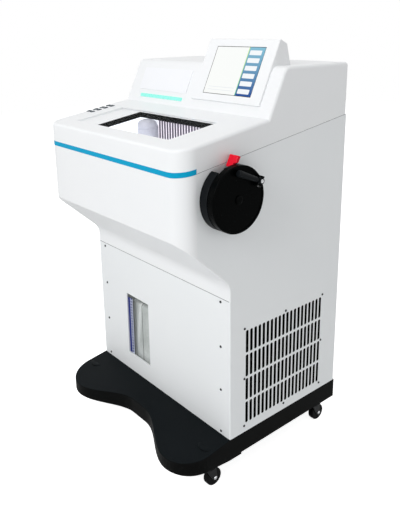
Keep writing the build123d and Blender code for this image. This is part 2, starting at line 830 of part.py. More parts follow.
def lock_lever():
    x0 = half + 4.5
    centre = Plane.YZ.offset(x0)
    r = wheel_radius
    body = extrude(centre * Pos(wheel_y, wheel_z) * Circle(21), amount=6)
    arm = box(0, r - 12, -6, 6, 0, 6)
    tab = box(r - 16, r + 19, -3, 3, 0, lever_width)
    tab = chamfer(tab.edges().filter_by(Axis.Z).sort_by(Axis.X)[-2:], 1)
    # Local x runs out along the lever, local z runs along the wheel axis
    a = math.radians(lever_rest_angle)
    frame = Plane(origin=(x0, wheel_y, wheel_z), x_dir=(0, math.cos(a), math.sin(a)), z_dir=(1, 0, 0))
    body += frame * arm
    body += frame * tab
    body -= cyl_x(x0 - 2, x0 + 10, wheel_y, wheel_z, 15 + run_clear)
    return body


def wheel_x():
    x0 = half + shroud_depth + 2
    return x0, x0 + wheel_thickness


def wheel_shaft():
    x0, x1 = wheel_x()
    body = cyl_x(half - 60, x0, wheel_y, wheel_z, shaft_radius + 2)
    body += cyl_x(x0 - 1, x1 - 3, wheel_y, wheel_z, shaft_radius)
    return body


def grip_frame():
    # Local x runs along the folded grip, local y along its pin, local z out of the wheel
    pivot = (wheel_y + 0.72 * wheel_radius, wheel_z + 0.46 * wheel_radius)
    d = (-0.924, 0.382)
    x1 = wheel_x()[1]
    return Plane(origin=(x1 + 8.5, pivot[0], pivot[1]), x_dir=(0, d[0], d[1]), z_dir=(1, 0, 0))


def handwheel():
    x0, x1 = wheel_x()
    r = wheel_radius
    body = cyl_x(x0, x1, wheel_y, wheel_z, r)
    body = fillet(body.edges().filter_by(GeomType.CIRCLE), 2)
    body -= cyl_x(x1 - 1.2, x1 + 1, wheel_y, wheel_z, r - 6)
    body += cyl_x(x1 - 2, x1 + 0.6, wheel_y, wheel_z, 10)
    body -= cyl_x(x0 - 1, x1 - 3, wheel_y, wheel_z, shaft_radius + run_clear)
    frame = grip_frame()
    for side in (-1, 1):
        y0 = side * 7.5 if side > 0 else -11.5
        lug = box(-7, 7, y0, y0 + 4, -10, 0)
        lug += Pos(0, y0 + 2, 0) * Rot(90, 0, 0) * Cylinder(7, 4)
        body += frame * lug
    body -= frame * (Rot(90, 0, 0) * Cylinder(3 + run_clear, 40))
    return body


def grip_pin():
    frame = grip_frame()
    pin = Rot(90, 0, 0) * Cylinder(3, 23)
    head = Pos(0, 14.6, 0) * Rot(90, 0, 0) * extrude(RegularPolygon(5, 6), amount=3)
    return frame * (pin + head)


def grip_handle():
    frame = grip_frame()
    eye = Rot(90, 0, 0) * Cylinder(6.5, 14.4)
    neck = Pos(8, 0, 0) * Rot(0, 90, 0) * Cylinder(4.5, 10)
    barrel = Pos(12, 0, 0) * (Plane.YZ * Cone(6.2, 8.2, 62, align=(Align.CENTER, Align.CENTER, Align.MIN)))
    ends = barrel.edges().filter_by(GeomType.CIRCLE)
    barrel = fillet(ends, 3)
    body = eye + neck + barrel
    body -= Rot(90, 0, 0) * Cylinder(3 + run_clear, 40)
    return frame * body


def compressor():
    x = half - compressor_gap
    y = cabinet_depth - compressor_rear
    z = base_top + 3
    r = compressor_radius
    body = box(x - r - 12, x + r + 12, y - r - 2, y + r + 2, z, z + 8)
    can = cyl_z(x, y, z + 7, z + compressor_height, r)
    can = fillet(can.edges().filter_by(GeomType.CIRCLE).sort_by(Axis.Z)[-1:], 30)
    body += can
    body += cyl_z(x, y - r - 14, z + 60, z + compressor_height - 40, 16)
    body += box(x - 10, x + 10, y - r - 16, y - r + 8, z + 95, z + 115)
    return body


def condenser():
    x1 = half - side_wall - 14
    x0 = x1 - condenser_thickness
    xm = (x0 + x1) / 2
    y1 = condenser_rear_y
    z = base_top + 3
    body = box(x0, x1, condenser_front_y, y1, z, z + condenser_height)
    pitch = (condenser_height - 14) / 6
    for k in range(6):
        zz = z + 30 + k * pitch
        body += cyl_z(xm, y1 + 9, zz, zz + 20, 4)
        body += cyl_y(xm, zz + 3, y1 - 1, y1 + 11, 3.5)
        body += cyl_y(xm, zz + 17, y1 - 1, y1 + 11, 3.5)
    return body


def fan_axis():
    x1 = half - side_wall - 14 - condenser_thickness
    return x1 - 17, (condenser_front_y + condenser_rear_y) / 2, base_top + 3 + condenser_height / 2


def fan_shroud():
    x, y, z = fan_axis()
    x1 = x + 17
    z0 = base_top + 3
    body = box(x1 - 4, x1, condenser_front_y, condenser_rear_y, z0, z0 + condenser_height)
    body += cyl_x(x1 - 30, x1 - 3, y, z, fan_radius + 4)
    body -= cyl_x(x1 - 40, x1 + 5, y, z, fan_radius)
    return body


def fan_rotor():
    x, y, z = fan_axis()
    body = cyl_x(x - 11, x + 11, y, z, fan_hub_radius)
    reach = fan_radius - 8
    root = fan_hub_radius - 4
    for k in range(5):
        blade = Pos((root + reach) / 2, 0, 0) * Rot(28, 0, 0) * Box(reach - root, 40, 2.4)
        spin = Plane(origin=(x, y, z), x_dir=(0, math.cos(k * 2 * math.pi / 5), math.sin(k * 2 * math.pi / 5)),
                     z_dir=(1, 0, 0))
        body += spin * blade
    body -= cyl_x(x - 20, x - 3, y, z, 4 + run_clear)
    return body


def fan_motor():
    x, y, z = fan_axis()
    body = cyl_x(x - 50, x - 13, y, z, motor_radius)
    body += cyl_x(x - 14, x - 4, y, z, 4)
    body += box(x - 42, x - 34, y - 15, y + 15, base_top + 3, z)
    return body


parts = {}
parts["base_skid"] = base_skid()
parts["cabinet_frame"] = cabinet_frame()
parts["side_panel_left"] = side_panel(-1)
parts["side_panel_right"] = side_panel(1)
parts["rear_panel"] = rear_panel()
parts["front_panel"] = front_panel()
parts["front_cowl"] = front_cowl()
parts["top_hood"] = top_hood()
parts["accent_stripe"] = accent_stripe()
parts["window_surround"] = window_surround()
parts["window_gasket"] = window_gasket()
parts["window_pane"] = window_pane()
parts["chamber_tub"] = chamber_tub()
parts["chamber_insulation"] = chamber_insulation()
parts["evaporator"] = evaporator()
parts["head_housing"] = head_housing()
parts["specimen_head"] = specimen_head()
parts["knife_base"] = knife_base()
parts["knife_blade"] = knife_blade()
parts["clamp_lever"] = clamp_lever()
parts["key_pod"] = key_pod()
for index, (u, v) in enumerate(key_points()):
    parts["deck_key_%d" % (index + 1)] = deck_key(u, v)
parts["console_plate"] = console_plate()
parts["status_bar"] = status_bar()
parts["screen_housing"] = screen_housing()
parts["display_panel"] = display_panel()
parts["air_filter"] = air_filter()
parts["slot_pane"] = slot_pane()
parts["waste_bottle"] = waste_bottle()
parts["wheel_bearing"] = wheel_bearing()
parts["wheel_shroud"] = wheel_shroud()
parts["lock_lever"] = lock_lever()
parts["wheel_shaft"] = wheel_shaft()
parts["handwheel"] = handwheel()
parts["grip_pin"] = grip_pin()
parts["grip_handle"] = grip_handle()
parts["power_inlet"] = power_inlet()
parts["power_rocker"] = power_rocker()
parts["compressor"] = compressor()
parts["condenser"] = condenser()
parts["fan_shroud"] = fan_shroud()
parts["fan_motor"] = fan_motor()
parts["fan_rotor"] = fan_rotor()
parts["front_panel_screws"] = Compound([screw_y(x, z) for x, z in front_screw_points()])
parts["grille_screws"] = Compound([screw_x(y, z) for y, z in grille_screw_points()])
corner_names = ["front_right", "front_left", "rear_right", "rear_left"]
for corner, (x, y) in zip(corner_names, caster_axes()):
    parts["caster_fork_" + corner] = caster_fork(x, y)
    parts["caster_wheel_" + corner] = caster_wheel(x, y)

# The origin goes to the middle of the whole object's outline, on the floor
whole = Compound(children=[Compound([shape]) for shape in parts.values()]).bounding_box()
middle = whole.center()
for name, shape in parts.items():
    shape = Pos(-middle.X, -middle.Y, -whole.min.Z) * shape
    shape.label = name
    export_step(shape, "parts/" + name + ".step")
print("moved by", -middle.X, -middle.Y, -whole.min.Z)
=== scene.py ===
import math

import bmesh
import bpy
from mathutils import Matrix, Vector


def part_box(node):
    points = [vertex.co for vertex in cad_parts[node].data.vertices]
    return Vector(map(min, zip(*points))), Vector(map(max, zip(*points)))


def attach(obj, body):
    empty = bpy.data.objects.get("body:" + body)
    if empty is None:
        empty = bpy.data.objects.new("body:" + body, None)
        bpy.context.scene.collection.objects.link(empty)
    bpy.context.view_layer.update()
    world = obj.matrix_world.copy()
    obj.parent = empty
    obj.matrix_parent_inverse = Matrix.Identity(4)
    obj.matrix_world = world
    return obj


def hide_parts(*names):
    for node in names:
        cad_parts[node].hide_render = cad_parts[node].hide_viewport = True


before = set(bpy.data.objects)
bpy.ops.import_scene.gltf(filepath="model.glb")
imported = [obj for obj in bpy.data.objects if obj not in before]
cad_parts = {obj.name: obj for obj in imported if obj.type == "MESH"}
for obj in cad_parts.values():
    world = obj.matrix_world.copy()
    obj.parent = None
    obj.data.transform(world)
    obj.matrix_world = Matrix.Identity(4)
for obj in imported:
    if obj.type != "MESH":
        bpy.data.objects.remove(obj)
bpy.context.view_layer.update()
scene = bpy.context.scene
scene.view_settings.view_transform = "Standard"
print("frame loaded:", len(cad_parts), "nodes")

mm = 0.001


def hexToLinear(code):
    parts = [int(code[i:i + 2], 16) / 255 for i in (1, 3, 5)]
    return [c / 12.92 if c <= 0.04045 else ((c + 0.055) / 1.055) ** 2.4 for c in parts] + [1.0]


def addNode(tree, kind, settings=(), links=()):
    # settings name an attribute or an input, links name an input and give (node, output)
    node = tree.nodes.new(kind)
    for key, value in dict(settings).items():
        if isinstance(key, int) or key in node.inputs:
            node.inputs[key].default_value = value
        else:
            setattr(node, key, value)
    for key, (source, output) in dict(links).items():
        tree.links.new(source.outputs[output], node.inputs[key])
    return node


def newMaterial(name):
    material = bpy.data.materials.new(name)
    material.use_nodes = True
    material.node_tree.nodes.clear()
    return material, material.node_tree


# Finishes. driftSize is how far apart the slow colour changes are, grain the size of the surface
# texture and depth its height, all in real millimetres.
finishes = {
    # Vacuum-formed ABS: satin, nearly flawless, a very faint orange peel
    "satinAbsMoulding": {"tone": "#F1F2F3", "drift": "#EDEFF1", "driftSize": 240, "grain": 7, "depth": 0.012,
                         "roughness": (0.30, 0.36), "specular": 0.22},
    # Powder-coated sheet steel: even, slightly pebbled, softer reflections than the moulding
    "powderCoatedSteel": {"tone": "#EFF1F2", "drift": "#EAEDEF", "driftSize": 300, "grain": 2.5, "depth": 0.010,
                          "roughness": (0.42, 0.50), "specular": 0.22},
    # Gloss self-coloured trim strip
    "glossBlueTrim": {"tone": "#08A2CC", "drift": "#069AC4", "driftSize": 120, "grain": 9, "depth": 0.006,
                      "roughness": (0.22, 0.28), "specular": 0.08},
    # Structural foam base with a fine pebble grain, which kills most of its shine; its upright faces are painted
    # darker as painted shade
    "grainedBlackFoam": {"tone": "#0C1012", "drift": "#101518", "driftSize": 180, "grain": 1.6, "depth": 0.05,
                         "roughness": (0.42, 0.55), "specular": 0.05, "paintedSideShade": "#040505"},
    # Glass-filled nylon, lightly textured
    "texturedNylon": {"tone": "#080B0E", "drift": "#0C1013", "driftSize": 60, "grain": 1.2, "depth": 0.03,
                      "roughness": (0.40, 0.52), "specular": 0.09},
    # Compression-moulded phenolic, polished rim, near black
    "phenolicBlack": {"tone": "#010202", "drift": "#020303", "driftSize": 70, "grain": 5, "depth": 0.008,
                      "roughness": (0.24, 0.34), "specular": 0.03},
    # Injection-moulded ABS in signal red, with a faint painted glow as painted light
    "glossRedAbs": {"tone": "#E6122E", "drift": "#DC102A", "driftSize": 30, "grain": 4, "depth": 0.006,
                    "roughness": (0.25, 0.32), "specular": 0.15, "glow": 0.03},
    # EPDM seal: matt, dense black
    "matteRubberSeal": {"tone": "#030303", "drift": "#060606", "driftSize": 40, "grain": 0.8, "depth": 0.03,
                        "roughness": (0.75, 0.85), "specular": 0.02},
    # White-enamelled chamber liner, with a painted glow standing in for the light of the chamber's lamp
    "enamelLiner": {"tone": "#F4F6F8", "drift": "#EEF1F4", "driftSize": 150, "grain": 6, "depth": 0.01,
                    "roughness": (0.30, 0.40), "specular": 0.3, "glow": 0.6},
    # Grey two-pack paint on the specimen column, with a painted glow that lightens it as painted light
    "greyTwoPack": {"tone": "#B4B5C0", "drift": "#AAABB7", "driftSize": 60, "grain": 3, "depth": 0.01,
                    "roughness": (0.35, 0.45), "specular": 0.4, "glow": 0.22},
    # Polyurethane foam, cut cells
    "cutFoam": {"tone": "#D9C79A", "drift": "#C9B483", "driftSize": 25, "grain": 1.5, "depth": 0.25,
                "roughness": (0.85, 0.95), "specular": 0.2},
    # Clear-lensed status strip
    "turquoiseLens": {"tone": "#93EFE0", "drift": "#8AEADB", "driftSize": 90, "grain": 5, "depth": 0.004,
                      "roughness": (0.25, 0.3), "specular": 0.4, "glow": 0.12},
    # Printed polyester overlay, satin
    "satinOverlay": {"tone": "#F3F4F7", "drift": "#EFF1F5", "driftSize": 150, "grain": 3, "depth": 0.004,
                     "roughness": (0.28, 0.34), "specular": 0.4},
    # Soft-touch silicone keys
    "siliconeKey": {"tone": "#1A2A36", "drift": "#21333F", "driftSize": 12, "grain": 0.6, "depth": 0.01,
                    "roughness": (0.55, 0.65), "specular": 0.3},
    # Open-cell filter mat, coarser than the real 0.5 mm cells so that they show
    "filterMat": {"tone": "#020203", "drift": "#050607", "driftSize": 8, "grain": 1.8, "depth": 0.6,
                  "roughness": (0.9, 1.0), "specular": 0.02},
    # Inks printed on the level scale
    "navyInk": {"tone": "#0C1C70", "drift": "#102179", "driftSize": 40, "grain": 3, "depth": 0.002,
                "roughness": (0.3, 0.36), "specular": 0.3},
    "paleInk": {"tone": "#B4BBD0", "drift": "#BDC4D6", "driftSize": 30, "grain": 3, "depth": 0.002,
                "roughness": (0.3, 0.36), "specular": 0.3},
    "dashInk": {"tone": "#0E1C66", "drift": "#12226E", "driftSize": 30, "grain": 3, "depth": 0.002,
                "roughness": (0.3, 0.36), "specular": 0.3},
    # Bottom of a hex socket, in its own shadow
    "socketShadow": {"tone": "#040404", "drift": "#080808", "driftSize": 5, "grain": 1, "depth": 0.01,
                     "roughness": (0.7, 0.8), "specular": 0.1},
    # Grey rubber cord in the joints, its tone also painted shade for the shadow gaps
    "gapShadeCord": {"tone": "#5E6164", "drift": "#6A6D70", "driftSize": 60, "grain": 2, "depth": 0.01,
                  "roughness": (0.6, 0.7), "specular": 0.1},
    # Solid polyurethane tyre
    "polyurethaneTyre": {"tone": "#060607", "drift": "#0B0B0C", "driftSize": 20, "grain": 1.0, "depth": 0.03,
                         "roughness": (0.45, 0.6), "specular": 0.1},
    # Enamelled compressor shell
    "glossEnamelBlack": {"tone": "#0B0C0D", "drift": "#101112", "driftSize": 60, "grain": 6, "depth": 0.02,
                         "roughness": (0.2, 0.3), "specular": 0.4},
}

# Metals. brush stretches the grain along one axis, as a belt or a lathe leaves it.
metals = {
    "brushedStainless": {"tone": "#A9ABAD", "drift": "#BFC1C3", "grain": 0.9, "brush": 14, "depth": 0.006,
                         "roughness": (0.26, 0.38), "metallic": 1.0},
    "millAluminium": {"tone": "#E4E2E6", "drift": "#F0EEF1", "grain": 1.5, "brush": 6, "depth": 0.006,
                      "roughness": (0.40, 0.52), "metallic": 0.35},
    "honedBlade": {"tone": "#C4C8CC", "drift": "#D4D7DA", "grain": 0.5, "brush": 20, "depth": 0.003,
                   "roughness": (0.14, 0.22), "metallic": 1.0},
    "blackZinc": {"tone": "#141516", "drift": "#232426", "grain": 2, "brush": 1, "depth": 0.01,
                  "roughness": (0.3, 0.42), "metallic": 0.6},
    "blackOxide": {"tone": "#2C2E30", "drift": "#3A3C3E", "grain": 0.8, "brush": 1, "depth": 0.01,
                   "roughness": (0.35, 0.45), "metallic": 0.7},
    "satinBlackSteel": {"tone": "#0C0D0E", "drift": "#131415", "grain": 2, "brush": 1, "depth": 0.004,
                        "roughness": (0.3, 0.4), "metallic": 0.4},
    "polishedChrome": {"tone": "#D5D7DA", "drift": "#DFE1E3", "grain": 3, "brush": 1, "depth": 0.002,
                       "roughness": (0.06, 0.12), "metallic": 1.0},
    "machinedIron": {"tone": "#77797C", "drift": "#8A8C8E", "grain": 1.2, "brush": 8, "depth": 0.02,
                     "roughness": (0.38, 0.5), "metallic": 0.8},
    "greyPowderFrame": {"tone": "#7C7F82", "drift": "#85888B", "grain": 2.5, "brush": 1, "depth": 0.01,
                        "roughness": (0.45, 0.55), "metallic": 0.0},
}


def surfaceMaterial(name, look):
    material, tree = newMaterial(name)
    brush = look.get("brush", 1)
    place = addNode(tree, "ShaderNodeTexCoord")
    stretch = addNode(tree, "ShaderNodeMapping", {"Scale": (1 / brush, 1, 1)}, {"Vector": (place, "Object")})
    slow = addNode(tree, "ShaderNodeTexNoise", {"Scale": 1000 / look.get("driftSize", 40), "Detail": 3.0},
                   {"Vector": (place, "Object")})
    fine = addNode(tree, "ShaderNodeTexNoise", {"Scale": 1000 / look["grain"], "Detail": 4.0},
                   {"Vector": (stretch, "Vector")})
    tint = addNode(tree, "ShaderNodeMix", {"data_type": "RGBA", 6: hexToLinear(look["tone"]),
                                           7: hexToLinear(look["drift"])}, {0: (slow, "Fac")})
    if "paintedSideShade" in look:  # upright faces take a darker tone than the level face: painted shade
        surface = addNode(tree, "ShaderNodeNewGeometry")
        facing = addNode(tree, "ShaderNodeSeparateXYZ", links={"Vector": (surface, "Normal")})
        level = addNode(tree, "ShaderNodeMapRange", {"From Min": 0.3, "From Max": 0.9}, {"Value": (facing, "Z")})
        tint = addNode(tree, "ShaderNodeMix", {"data_type": "RGBA", 6: hexToLinear(look["paintedSideShade"])},
                       {0: (level, "Result"), 7: (tint, 2)})
    low, high = look["roughness"]
    gloss = addNode(tree, "ShaderNodeMapRange", {"To Min": low, "To Max": high}, {"Value": (fine, "Fac")})
    relief = addNode(tree, "ShaderNodeBump", {"Strength": 0.6, "Distance": look["depth"] * mm},
                     {"Height": (fine, "Fac")})
    shader = addNode(tree, "ShaderNodeBsdfPrincipled",
                     {"Metallic": look.get("metallic", 0.0), "IOR": 1.5,
                      "Specular IOR Level": look.get("specular", 0.5)},
                     {"Base Color": (tint, 2), "Roughness": (gloss, "Result"), "Normal": (relief, "Normal")})
    # glow makes the surface emit its own tone; on the liner, the specimen column and the red lever it is painted
    # light
    if "glow" in look:
        shader.inputs["Emission Color"].default_value = hexToLinear(look["tone"])
        shader.inputs["Emission Strength"].default_value = look["glow"]
    addNode(tree, "ShaderNodeOutputMaterial", links={"Surface": (shader, "BSDF")})
    return material


# Sheets that are seen through, and the glass of the display, which is black when unlit
clearSheet = {"tone": "#E9F3F2", "alpha": 0.012, "smear": 90, "roughness": (0.03, 0.09)}  # 4 mm glass, wipe marks
scaleSheet = {"tone": "#CFD6D4", "alpha": 0.10, "smear": 45, "roughness": (0.03, 0.09)}  # 3 mm acrylic, hazed
darkGlass = {"tone": "#050505", "roughness": 0.25, "specular": 0.2}


def clearMaterial(name, look):
    material, tree = newMaterial(name)
    place = addNode(tree, "ShaderNodeTexCoord")
    smear = addNode(tree, "ShaderNodeTexNoise", {"Scale": 1000 / look["smear"], "Detail": 2.0},
                    {"Vector": (place, "Object")})
    low, high = look["roughness"]
    gloss = addNode(tree, "ShaderNodeMapRange", {"To Min": low, "To Max": high}, {"Value": (smear, "Fac")})
    shader = addNode(tree, "ShaderNodeBsdfPrincipled",
                     {"Base Color": hexToLinear(look["tone"]), "IOR": 1.5, "Alpha": look["alpha"]},
                     {"Roughness": (gloss, "Result")})
    addNode(tree, "ShaderNodeOutputMaterial", links={"Surface": (shader, "BSDF")})
    return material


def litMaterial(name, foot, top, zFoot, zTop):
    # Backlit display: dark glass that glows from one colour at its foot to another at its top
    material, tree = newMaterial(name)
    place = addNode(tree, "ShaderNodeTexCoord")
    parts = addNode(tree, "ShaderNodeSeparateXYZ", links={"Vector": (place, "Object")})
    height = addNode(tree, "ShaderNodeMapRange", {"From Min": zFoot, "From Max": zTop}, {"Value": (parts, "Z")})
    tint = addNode(tree, "ShaderNodeMix", {"data_type": "RGBA", 6: hexToLinear(foot), 7: hexToLinear(top)},
                   {0: (height, "Result")})
    shader = addNode(tree, "ShaderNodeBsdfPrincipled",
                     {"Base Color": hexToLinear(darkGlass["tone"]), "Roughness": darkGlass["roughness"], "IOR": 1.5,
                      "Specular IOR Level": darkGlass["specular"], "Emission Strength": 1.0},
                     {"Emission Color": (tint, 2)})
    addNode(tree, "ShaderNodeOutputMaterial", links={"Surface": (shader, "BSDF")})
    return material


def shaderAndTint(material):
    # The shader of a surface material, and the node that gives its base colour
    shader = next(n for n in material.node_tree.nodes if n.type == "BSDF_PRINCIPLED")
    return shader, shader.inputs["Base Color"].links[0].from_node


def edgedMaterial(name, look, axis, paintedEdgeTone, glow=0.0):
    # Sheet whose thin cut edges take a painted tone that differs from its faces: a painted highlight on the fins'
    # edges, painted shade on the slot walls. axis is the way the broad faces look
    material = surfaceMaterial(name, look)
    tree = material.node_tree
    shader, faceTint = shaderAndTint(material)
    surface = addNode(tree, "ShaderNodeNewGeometry")
    facing = addNode(tree, "ShaderNodeSeparateXYZ", links={"Vector": (surface, "Normal")})
    size = addNode(tree, "ShaderNodeMath", {"operation": "ABSOLUTE"}, {0: (facing, axis)})
    broad = addNode(tree, "ShaderNodeMapRange", {"From Min": 0.45, "From Max": 0.55}, {"Value": (size, "Value")})
    tint = addNode(tree, "ShaderNodeMix", {"data_type": "RGBA", 6: hexToLinear(paintedEdgeTone)},
                   {0: (broad, "Result"), 7: (faceTint, 2)})
    tree.links.new(tint.outputs[2], shader.inputs["Base Color"])
    if glow:
        tree.links.new(tint.outputs[2], shader.inputs["Emission Color"])
        shader.inputs["Emission Strength"].default_value = glow
    return material, tint, broad


def louvredMaterial(name, look, slotShadeTone):
    # Steel sheet with lasered slots, whose walls are painted near black as painted shade for the dark of the machine
    # bay behind them. The sheet's own rim stays light: only edges inside the field of the grille's screws take the
    # painted shade.
    material, tint, broad = edgedMaterial(name, look, "X", slotShadeTone)
    tree = material.node_tree
    low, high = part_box("grille_screws")
    middle, half = (low + high) / 2, (high - low) / 2
    place = addNode(tree, "ShaderNodeTexCoord")
    where = addNode(tree, "ShaderNodeSeparateXYZ", links={"Vector": (place, "Object")})
    inY = addNode(tree, "ShaderNodeMath", {"operation": "COMPARE", 1: middle.y, 2: half.y}, {0: (where, "Y")})
    inZ = addNode(tree, "ShaderNodeMath", {"operation": "COMPARE", 1: middle.z, 2: half.z}, {0: (where, "Z")})
    inside = addNode(tree, "ShaderNodeMath", {"operation": "MULTIPLY"}, {0: (inY, "Value"), 1: (inZ, "Value")})
    outside = addNode(tree, "ShaderNodeMath", {"operation": "SUBTRACT", 0: 1.0}, {1: (inside, "Value")})
    mask = addNode(tree, "ShaderNodeMath", {"operation": "MAXIMUM"}, {0: (broad, "Result"), 1: (outside, "Value")})
    tree.links.new(mask.outputs["Value"], tint.inputs[0])
    return material


# Half-full waste bottle behind the sight window: cloudy blow-moulded polythene with a painted slanting sheen, a dark
# vertical line and a pale foot. Shares are of the window's width or height, the rest is in millimetres.
cloudyPolythene = {"tone": "#A9AFAC", "drift": "#DDE1E0", "driftSize": 40, "grain": 9, "depth": 0.05,
                   "roughness": (0.32, 0.42), "specular": 0.4}
bottle = {"sheen": "#F2F5F4", "sheenShare": 0.33, "sheenSlope": 0.17, "sheenWidth": 14.0, "sheenCore": 2.0,
          "foot": "#E6EAE9", "footShare": 0.26, "footFade": 35.0, "footStrength": 0.9,
          "seam": "#202422", "seamShare": 0.47, "seamWidth": 1.3}


def bottleMaterial(name, look):
    material = surfaceMaterial(name, look)
    tree = material.node_tree
    shader, ground = shaderAndTint(material)
    low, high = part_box("slot_pane")
    width, height = high.x - low.x, high.z - low.z
    place = addNode(tree, "ShaderNodeTexCoord")
    where = addNode(tree, "ShaderNodeSeparateXYZ", links={"Vector": (place, "Object")})
    # painted sheen: a slanting band of the bottle lightened towards the sheen tone
    slant = addNode(tree, "ShaderNodeMath", {"operation": "MULTIPLY_ADD", 1: -bottle["sheenSlope"]},
                    {0: (where, "Z"), 2: (where, "X")})
    sheenAt = low.x + bottle["sheenShare"] * width - bottle["sheenSlope"] * (low.z + high.z) / 2
    far = addNode(tree, "ShaderNodeMath", {"operation": "SUBTRACT", 1: sheenAt}, {0: (slant, "Value")})
    farSize = addNode(tree, "ShaderNodeMath", {"operation": "ABSOLUTE"}, {0: (far, "Value")})
    sheen = addNode(tree, "ShaderNodeMapRange", {"From Min": bottle["sheenWidth"] * mm,
                                                 "From Max": bottle["sheenCore"] * mm, "To Max": 1.0},
                    {"Value": (farSize, "Value")})
    withSheen = addNode(tree, "ShaderNodeMix", {"data_type": "RGBA", 7: hexToLinear(bottle["sheen"])},
                        {0: (sheen, "Result"), 6: (ground, 2)})
    footTop = low.z + bottle["footShare"] * height
    foot = addNode(tree, "ShaderNodeMapRange", {"From Min": footTop, "From Max": footTop - bottle["footFade"] * mm,
                                                "To Max": bottle["footStrength"]}, {"Value": (where, "Z")})
    withFoot = addNode(tree, "ShaderNodeMix", {"data_type": "RGBA", 7: hexToLinear(bottle["foot"])},
                       {0: (foot, "Result"), 6: (withSheen, 2)})
    seam = addNode(tree, "ShaderNodeMath", {"operation": "COMPARE", 1: low.x + bottle["seamShare"] * width,
                                            2: bottle["seamWidth"] * mm}, {0: (where, "X")})
    withDarkLine = addNode(tree, "ShaderNodeMix", {"data_type": "RGBA", 7: hexToLinear(bottle["seam"])},
                       {0: (seam, "Value"), 6: (withFoot, 2)})
    tree.links.new(withDarkLine.outputs[2], shader.inputs["Base Color"])
    return material


# Frosted evaporator: fin faces a dark lilac-grey, painted shade for the gaps between fins, and front edges pale and
# glowing, a painted highlight for the chamber lamp's light
frostedFin = {"tone": "#5D5966", "drift": "#77727F", "driftSize": 30, "grain": 2, "depth": 0.01,
              "roughness": (0.5, 0.6), "specular": 0.2, "edge": "#FBF3FA", "paintedEdgeGlow": 0.45}
# near-black painted shade for the slot walls
slotWallShade = "#060606"
made = {name: surfaceMaterial(name, look) for name, look in {**finishes, **metals}.items()}
made["clearGlassSheet"] = clearMaterial("clearGlassSheet", clearSheet)
made["hazedAcrylic"] = clearMaterial("hazedAcrylic", scaleSheet)
made["frostedFin"] = edgedMaterial("frostedFin", frostedFin, "X", frostedFin["edge"], frostedFin["paintedEdgeGlow"])[0]
made["louvredSteel"] = louvredMaterial("louvredSteel", finishes["powderCoatedSteel"], slotWallShade)
made["cloudyBottle"] = bottleMaterial("cloudyBottle", cloudyPolythene)
print("finishes made:", len(made))

# Which CAD nodes wear which finish
corners = ["front_right", "front_left", "rear_right", "rear_left"]
wears = {
    "satinAbsMoulding": ["top_hood", "front_cowl", "window_surround", "screen_housing"],
    "powderCoatedSteel": ["side_panel_left", "rear_panel", "front_panel"],
    "louvredSteel": ["side_panel_right"],
    "glossBlueTrim": ["accent_stripe"],
    "grainedBlackFoam": ["base_skid"],
    "texturedNylon": ["wheel_shroud", "grip_handle", "power_inlet", "power_rocker", "key_pod", "clamp_lever",
                      "fan_rotor"],
    "phenolicBlack": ["handwheel", "display_panel"],
    "glossRedAbs": ["lock_lever"],
    "matteRubberSeal": ["window_gasket"],
    "enamelLiner": ["chamber_tub"],
    "greyTwoPack": ["head_housing", "knife_base"],
    "cutFoam": ["chamber_insulation"],
    "turquoiseLens": ["status_bar"],
    "satinOverlay": ["console_plate"],
    "siliconeKey": ["deck_key_%d" % k for k in range(1, 9)],
    "filterMat": ["air_filter"],
    "cloudyBottle": ["waste_bottle"],
    "polyurethaneTyre": ["caster_wheel_" + c for c in corners],
    "glossEnamelBlack": ["compressor"],
    "brushedStainless": ["wheel_shaft", "specimen_head"],
    "frostedFin": ["evaporator"],
    "millAluminium": ["condenser"],
    "honedBlade": ["knife_blade"],
    "blackZinc": ["caster_fork_" + c for c in corners],
    "blackOxide": ["front_panel_screws", "grille_screws"],
    "satinBlackSteel": ["grip_pin"],
    "machinedIron": ["wheel_bearing"],
    "greyPowderFrame": ["cabinet_frame", "fan_shroud", "fan_motor"],
    "clearGlassSheet": ["window_pane"],
    "hazedAcrylic": ["slot_pane"],
}
dressed = 0
for finish, nodes in wears.items():
    for node in nodes:
        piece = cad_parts[node]
        for slot in piece.material_slots:
            slot.material = made[finish]
        if not piece.material_slots:
            piece.data.materials.append(made[finish])
        dressed += 1
print("nodes dressed:", dressed)

outward, upward = Vector((1, 0, 0)), Vector((0, 0, 1))  # away from the cabinet's right side, and up


def finishPiece(name, mesh, finish, body, bevel=0.0):
    piece = bpy.data.objects.new(name, mesh)
    scene.collection.objects.link(piece)
    mesh.materials.append(made[finish])
    if bevel:
        edge = piece.modifiers.new("softEdge", "BEVEL")
        edge.width = bevel * mm
        edge.segments = 2
        edge.limit_method = "ANGLE"
    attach(piece, body)
    return piece


def roundedOutline(u0, u1, v0, v1, radius, steps=5):
    points = []
    for cu, cv, turn in ((u1 - radius, v1 - radius, 0), (u0 + radius, v1 - radius, 90),
                         (u0 + radius, v0 + radius, 180), (u1 - radius, v0 + radius, 270)):
        for k in range(steps + 1):
            angle = math.radians(turn + 90 * k / steps)
            points.append((cu + radius * math.cos(angle), cv + radius * math.sin(angle)))
    return points


def arcPoints(radius, start, end, steps=96):
    turns = [math.radians(start + (end - start) * k / steps) for k in range(steps + 1)]
    return [(radius * math.cos(a), radius * math.sin(a)) for a in turns]


def wallBetween(work, lowRing, highRing):
    for k in range(len(lowRing)):
        n = (k + 1) % len(lowRing)
        work.faces.new((lowRing[k], lowRing[n], highRing[n], highRing[k]))


def closeMesh(name, work):
    bmesh.ops.recalc_face_normals(work, faces=work.faces)
    mesh = bpy.data.meshes.new(name)
    work.to_mesh(mesh)
    work.free()
    return mesh


